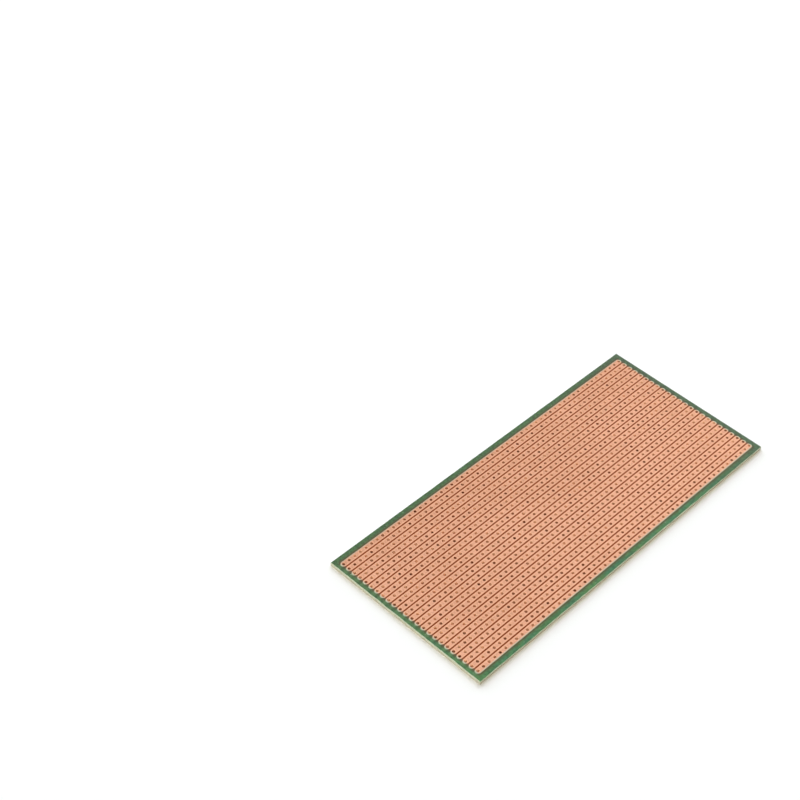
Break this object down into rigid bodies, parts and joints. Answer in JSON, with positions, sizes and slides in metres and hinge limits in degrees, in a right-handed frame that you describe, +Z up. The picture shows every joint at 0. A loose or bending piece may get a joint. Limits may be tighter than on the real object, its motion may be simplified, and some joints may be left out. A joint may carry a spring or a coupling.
{
  "type": "stripboard circuit board",
  "caption": "Bare stripboard for prototyping: a thin laminate with parallel copper strips on one side, drilled on a square grid and framed in green solder mask.",
  "frame": {"origin": "centre of the underside, on the surface that the board rests on", "axes": "+X along the copper strips, +Y across them, +Z up out of the copper side"},
  "size_m": [0.145, 0.065, 0.0012],
  "materials": {
    "laminate": "brown paper laminate, satin face and pale fibrous cut edges",
    "mask": "semi-gloss green film, slightly mottled",
    "copper": "bare copper foil, satin with a fine grain"
  },
  "bodies": {
    "root": {"laminate": "laminate", "solder_mask": "mask", "copper_strip_01": "copper", "copper_strip_02": "copper", "copper_strip_03": "copper", "copper_strip_04": "copper", "copper_strip_05": "copper", "copper_strip_06": "copper", "copper_strip_07": "copper", "copper_strip_08": "copper", "copper_strip_09": "copper", "copper_strip_10": "copper", "copper_strip_11": "copper", "copper_strip_12": "copper", "copper_strip_13": "copper", "copper_strip_14": "copper", "copper_strip_15": "copper", "copper_strip_16": "copper", "copper_strip_17": "copper", "copper_strip_18": "copper", "copper_strip_19": "copper", "copper_strip_20": "copper", "copper_strip_21": "copper", "copper_strip_22": "copper", "copper_strip_23": "copper", "copper_strip_24": "copper"}
  },
  "joints": []
}
